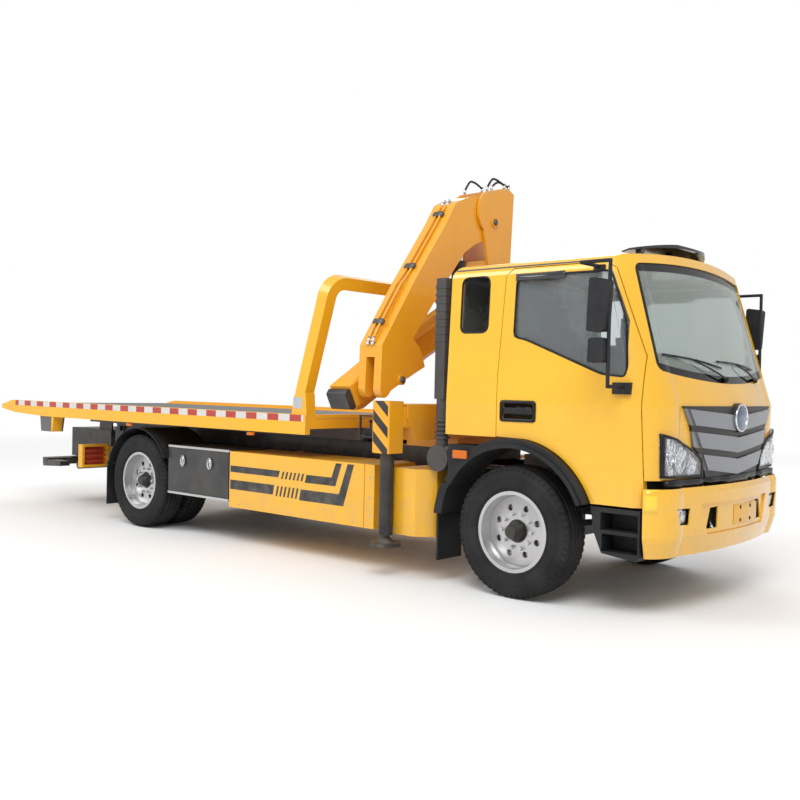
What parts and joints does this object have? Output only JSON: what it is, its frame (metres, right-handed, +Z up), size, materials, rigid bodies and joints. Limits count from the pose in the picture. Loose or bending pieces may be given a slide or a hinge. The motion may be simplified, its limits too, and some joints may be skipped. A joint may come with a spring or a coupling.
{
  "type": "flatbed tow truck",
  "caption": "Medium flatbed tow truck with tilting cab, sliding and tilting bed, hoop headboard, rear underlift and a folded loader crane behind the cab.",
  "frame": {"origin": "on the ground, at the middle of the truck's length and width", "axes": "+X forward, +Y to the truck's left, +Z up"},
  "size_m": [8.9691, 2.78, 3.4319],
  "materials": {
    "cab_paint": "gloss",
    "crane_paint": "gloss",
    "bed_paint": "gloss",
    "frame_black": "satin",
    "dark_plastic": "matte",
    "tyre": "matte",
    "rim_paint": "satin",
    "glass": "clear",
    "lamp": "clear",
    "grille_silver": "satin",
    "seat_cloth": "matte",
    "engine_metal": "satin",
    "rod_chrome": "polished",
    "locker_grey": "satin"
  },
  "bodies": {
    "chassis": {"chassis_frame": "frame_black", "sub_frame": "frame_black", "front_axle": "frame_black", "rear_axle": "frame_black", "drive_shaft": "engine_metal", "engine_block": "engine_metal", "front_bumper": "cab_paint", "front_fairings": "dark_plastic", "side_skirts": "bed_paint", "tool_boxes": "locker_grey", "rear_fenders": "dark_plastic", "tail_lamps": "lamp", "crane_base": "crane_paint", "intake_stack": "dark_plastic"},
    "cab": {"cab_shell": "cab_paint", "cab_glass": "glass", "grille": "grille_silver", "headlamps": "lamp", "roof_visor": "dark_plastic", "wheel_arches": "dark_plastic", "seats": "seat_cloth", "dashboard": "dark_plastic"},
    "door_right": {"door_R": "cab_paint", "door_glass_R": "glass", "mirror_R": "dark_plastic"},
    "door_left": {"door_L": "cab_paint", "door_glass_L": "glass", "mirror_L": "dark_plastic"},
    "steer_right": {"knuckle_R": "frame_black"},
    "steer_left": {"knuckle_L": "frame_black"},
    "wheel_front_right": {"rim_front_R": "rim_paint", "tyre_front_R": "tyre"},
    "wheel_front_left": {"rim_front_L": "rim_paint", "tyre_front_L": "tyre"},
    "wheels_rear_right": {"rims_rear_R": "rim_paint", "tyres_rear_R": "tyre"},
    "wheels_rear_left": {"rims_rear_L": "rim_paint", "tyres_rear_L": "tyre"},
    "lid_right": {"locker_lid_R": "locker_grey"},
    "lid_left": {"locker_lid_L": "locker_grey"},
    "outrigger_right": {"outrigger_R": "crane_paint"},
    "outrigger_left": {"outrigger_L": "crane_paint"},
    "jack_right": {"jack_R": "frame_black"},
    "jack_left": {"jack_L": "frame_black"},
    "bed_frame": {"tilt_frame": "frame_black", "underlift": "frame_black"},
    "bed": {"bed_deck": "bed_paint", "headboard": "bed_paint"},
    "lift_arm": {"lift_arm": "frame_black"},
    "tilt_ram_barrels": {"tilt_barrels": "frame_black"},
    "tilt_ram_rods": {"tilt_rods": "rod_chrome"},
    "crane_column": {"crane_column": "crane_paint"},
    "inner_boom": {"inner_boom": "crane_paint"},
    "boom_ram_barrel": {"boom_barrel": "frame_black"},
    "boom_ram_rod": {"boom_rod": "rod_chrome"},
    "outer_boom": {"outer_boom": "crane_paint"},
    "boom_extension": {"boom_extension": "crane_paint"}
  },
  "joints": [
    {"name": "cab_tilt", "type": "hinge", "parent": "chassis", "child": "cab", "pos_m": [4.3925, 0, 0.85], "axis": [0, 1, 0], "range_deg": [0, 45]},
    {"name": "door_right_open", "type": "hinge", "parent": "cab", "child": "door_right", "pos_m": [4.1875, -1.08, 1.2], "axis": [0, 0, 1], "range_deg": [0, 70]},
    {"name": "door_left_open", "type": "hinge", "parent": "cab", "child": "door_left", "pos_m": [4.1875, 1.08, 1.2], "axis": [0, 0, -1], "range_deg": [0, 70]},
    {"name": "steer_right", "type": "hinge", "parent": "chassis", "child": "steer_right", "pos_m": [3.2275, -0.8, 0.49], "axis": [0, 0, 1], "range_deg": [-35, 35]},
    {"name": "steer_left", "type": "hinge", "parent": "chassis", "child": "steer_left", "pos_m": [3.2275, 0.8, 0.49], "axis": [0, 0, 1], "range_deg": [-35, 35]},
    {"name": "wheel_front_right_spin", "type": "hinge", "parent": "steer_right", "child": "wheel_front_right", "pos_m": [3.2275, -1.002, 0.49], "axis": [0, 1, 0], "continuous": true},
    {"name": "wheel_front_left_spin", "type": "hinge", "parent": "steer_left", "child": "wheel_front_left", "pos_m": [3.2275, 1.002, 0.49], "axis": [0, 1, 0], "continuous": true},
    {"name": "wheels_rear_right_spin", "type": "hinge", "parent": "chassis", "child": "wheels_rear_right", "pos_m": [-1.5075, -1.047, 0.49], "axis": [0, 1, 0], "continuous": true},
    {"name": "wheels_rear_left_spin", "type": "hinge", "parent": "chassis", "child": "wheels_rear_left", "pos_m": [-1.5075, 1.047, 0.49], "axis": [0, 1, 0], "continuous": true},
    {"name": "lid_right_open", "type": "hinge", "parent": "chassis", "child": "lid_right", "pos_m": [-0.5175, -1.15, 0.432], "axis": [1, 0, 0], "range_deg": [0, 90]},
    {"name": "lid_left_open", "type": "hinge", "parent": "chassis", "child": "lid_left", "pos_m": [-0.5175, 1.15, 0.432], "axis": [-1, 0, 0], "range_deg": [0, 90]},
    {"name": "outrigger_right_slide", "type": "slide", "parent": "chassis", "child": "outrigger_right", "axis": [0, -1, 0], "range_m": [0, 0.8]},
    {"name": "outrigger_left_slide", "type": "slide", "parent": "chassis", "child": "outrigger_left", "axis": [0, 1, 0], "range_m": [0, 0.8]},
    {"name": "jack_right_slide", "type": "slide", "parent": "outrigger_right", "child": "jack_right", "axis": [0, 0, -1], "range_m": [0, 0.245]},
    {"name": "jack_left_slide", "type": "slide", "parent": "outrigger_left", "child": "jack_left", "axis": [0, 0, -1], "range_m": [0, 0.245]},
    {"name": "bed_tilt", "type": "hinge", "parent": "chassis", "child": "bed_frame", "pos_m": [-3.0025, 0, 0.962], "axis": [0, -1, 0], "range_deg": [0, 14]},
    {"name": "bed_slide", "type": "slide", "parent": "bed_frame", "child": "bed", "axis": [-1, 0, 0], "range_m": [0, 3]},
    {"name": "lift_arm_slide", "type": "slide", "parent": "bed_frame", "child": "lift_arm", "axis": [-1, 0, 0], "range_m": [0, 0.6]},
    {"name": "tilt_ram_swing", "type": "hinge", "parent": "chassis", "child": "tilt_ram_barrels", "pos_m": [-0.8525, 0, 0.735], "axis": [0, -1, 0], "range_deg": [0, 34.1]},
    {"name": "tilt_ram_stroke", "type": "slide", "parent": "tilt_ram_barrels", "child": "tilt_ram_rods", "axis": [0.9656, 0, 0.2599], "range_m": [0, 0.3306]},
    {"name": "crane_slew", "type": "hinge", "parent": "chassis", "child": "crane_column", "pos_m": [1.8495, 0.36, 1.442], "axis": [0, 0, 1], "range_deg": [-8, 6]},
    {"name": "boom_lift", "type": "hinge", "parent": "crane_column", "child": "inner_boom", "pos_m": [1.8515, 0.262, 3.08], "axis": [-1, 0, 0], "range_deg": [0, 110]},
    {"name": "boom_ram_swing", "type": "hinge", "parent": "crane_column", "child": "boom_ram_barrel", "pos_m": [1.8515, -0.05, 1.655], "axis": [-1, 0, 0], "range_deg": [0, 8.68]},
    {"name": "boom_ram_stroke", "type": "slide", "parent": "boom_ram_barrel", "child": "boom_ram_rod", "axis": [0, -0.008, 1], "range_m": [0, 0.5555]},
    {"name": "outer_boom_fold", "type": "hinge", "parent": "inner_boom", "child": "outer_boom", "pos_m": [1.5655, -0.962, 1.598], "axis": [1, 0, 0], "range_deg": [0, 180]},
    {"name": "boom_extend", "type": "slide", "parent": "outer_boom", "child": "boom_extension", "axis": [0, 0.887, 0.4617], "range_m": [0, 1.5]}
  ],
  "couplings": [
    {"joint": "steer_left", "follows": "steer_right", "ratio": 1},
    {"joint": "tilt_ram_swing", "follows": "bed_tilt", "ratio": 2.436},
    {"joint": "tilt_ram_stroke", "follows": "bed_tilt", "m_per_rad": 1.353},
    {"joint": "boom_ram_swing", "follows": "boom_lift", "ratio": 0.0789},
    {"joint": "boom_ram_stroke", "follows": "boom_lift", "m_per_rad": 0.28934}
  ]
}
